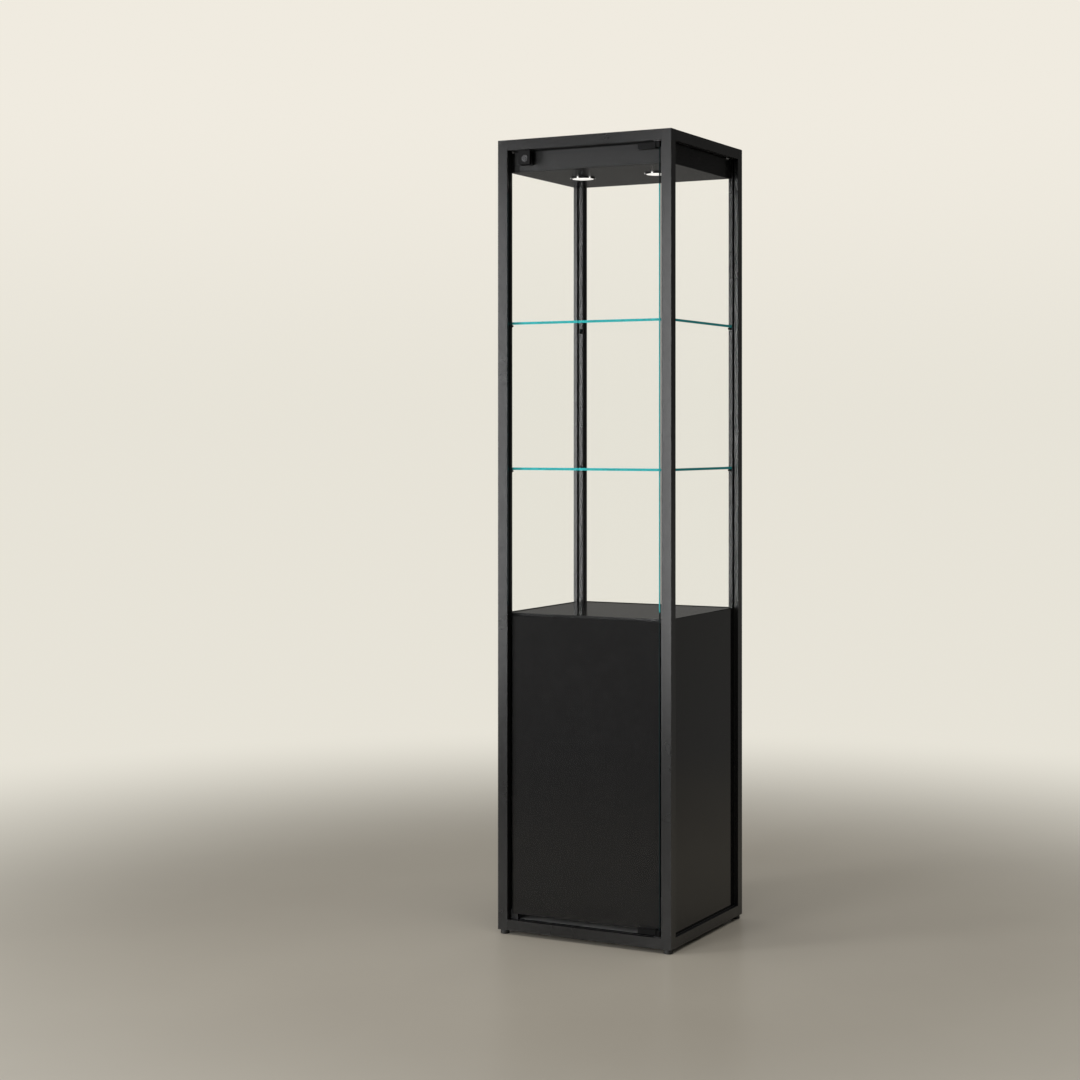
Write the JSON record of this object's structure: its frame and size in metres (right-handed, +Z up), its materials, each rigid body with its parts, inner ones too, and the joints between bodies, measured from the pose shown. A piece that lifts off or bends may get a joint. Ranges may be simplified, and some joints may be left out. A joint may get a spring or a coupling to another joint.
{
  "type": "china cabinet",
  "caption": "Tall free-standing display cabinet with a black aluminium frame, a full-height locking glass door, glass shelves, a lit canopy and a closed black base.",
  "frame": {"origin": "on the floor, under the middle of the cabinet", "axes": "the door faces -Y, +X is the viewer's right where the door is hinged, and +Z is up"},
  "size_m": [0.45, 0.42, 1.88],
  "materials": {
    "black_powder_coat": "satin",
    "black_plastic": "matte",
    "cast_zinc": "as cast",
    "foot_plastic": "matte",
    "zinc_steel": "zinc plated",
    "polished_steel": "polished",
    "black_laminate": "satin laminate",
    "black_steel": "black oxide",
    "clear_glass": "clear toughened",
    "shelf_glass": "clear toughened, polished edges",
    "black_gloss_glass": "high gloss",
    "black_backing": "gloss film",
    "black_rubber": "matte",
    "black_hardware": "satin",
    "canopy_sheet": "satin",
    "lamp_lens": "opal, lit",
    "heat_sink": "cast",
    "driver_case": "satin",
    "wire_sheath": "matte",
    "key_barrel": "satin nickel"
  },
  "bodies": {
    "cabinet": {"post_front_left": "black_powder_coat", "post_front_right": "black_powder_coat", "post_rear_left": "black_powder_coat", "post_rear_right": "black_powder_coat", "bottom_rail_front": "black_powder_coat", "bottom_rail_rear": "black_powder_coat", "bottom_rail_left": "black_powder_coat", "bottom_rail_right": "black_powder_coat", "top_rail_front": "black_powder_coat", "top_rail_rear": "black_powder_coat", "top_rail_left": "black_powder_coat", "top_rail_right": "black_powder_coat", "post_caps": "black_plastic", "pivot_bushes": "black_plastic", "corner_connectors_bottom": "cast_zinc", "corner_connectors_top": "cast_zinc", "deck_brackets": "zinc_steel", "spot_springs": "polished_steel", "base_board": "black_laminate", "deck": "black_laminate", "top_panel": "black_laminate", "fixing_screws": "black_steel", "pane_left": "clear_glass", "pane_right": "clear_glass", "pane_rear": "clear_glass", "lower_panel_left": "black_gloss_glass", "lower_panel_right": "black_gloss_glass", "lower_panel_rear": "black_gloss_glass", "gasket_left": "black_rubber", "gasket_right": "black_rubber", "gasket_rear": "black_rubber", "door_stop": "black_rubber", "cable_grommet": "black_rubber", "shelf_studs": "black_hardware", "canopy_tray": "canopy_sheet", "canopy_fascia": "canopy_sheet", "spot_bezels": "canopy_sheet", "spot_lenses": "lamp_lens", "spot_housings": "heat_sink", "led_driver": "driver_case", "led_wires": "wire_sheath"},
    "door": {"door_glass": "clear_glass", "door_backing": "black_backing", "pivot_clamps": "black_hardware", "pivot_pins": "polished_steel", "door_pads": "black_rubber", "door_grub_screws": "black_steel", "lock_housing": "black_hardware"},
    "lock_barrel": {"lock_barrel": "key_barrel"},
    "lock_bolt": {"lock_bolt": "zinc_steel"},
    "shelf_upper": {"shelf_upper": "shelf_glass"},
    "shelf_lower": {"shelf_lower": "shelf_glass"},
    "foot_front_left": {"foot_pad_front_left": "foot_plastic", "foot_stem_front_left": "zinc_steel"},
    "foot_front_right": {"foot_pad_front_right": "foot_plastic", "foot_stem_front_right": "zinc_steel"},
    "foot_rear_left": {"foot_pad_rear_left": "foot_plastic", "foot_stem_rear_left": "zinc_steel"},
    "foot_rear_right": {"foot_pad_rear_right": "foot_plastic", "foot_stem_rear_right": "zinc_steel"}
  },
  "joints": [
    {"name": "door_swing", "type": "hinge", "parent": "cabinet", "child": "door", "pos_m": [0.187, -0.1975, 0.945], "axis": [0, 0, 1], "range_deg": [0, 105]},
    {"name": "lock_turn", "type": "hinge", "parent": "door", "child": "lock_barrel", "pos_m": [-0.154, -0.1975, 1.834], "axis": [0, 1, 0], "range_deg": [0, 90]},
    {"name": "bolt_slide", "type": "slide", "parent": "door", "child": "lock_bolt", "axis": [0, 0, 1], "range_m": [0, 0.008]},
    {"name": "shelf_upper_lift", "type": "slide", "parent": "cabinet", "child": "shelf_upper", "axis": [0, 0, 1], "range_m": [0, 0.02]},
    {"name": "shelf_lower_lift", "type": "slide", "parent": "cabinet", "child": "shelf_lower", "axis": [0, 0, 1], "range_m": [0, 0.02]},
    {"name": "foot_front_left_level", "type": "slide", "parent": "cabinet", "child": "foot_front_left", "axis": [0, 0, -1], "range_m": [0, 0.008]},
    {"name": "foot_front_right_level", "type": "slide", "parent": "cabinet", "child": "foot_front_right", "axis": [0, 0, -1], "range_m": [0, 0.008]},
    {"name": "foot_rear_left_level", "type": "slide", "parent": "cabinet", "child": "foot_rear_left", "axis": [0, 0, -1], "range_m": [0, 0.008]},
    {"name": "foot_rear_right_level", "type": "slide", "parent": "cabinet", "child": "foot_rear_right", "axis": [0, 0, -1], "range_m": [0, 0.008]}
  ],
  "couplings": [
    {"joint": "lock_turn", "follows": "bolt_slide", "rad_per_m": 196.3}
  ]
}
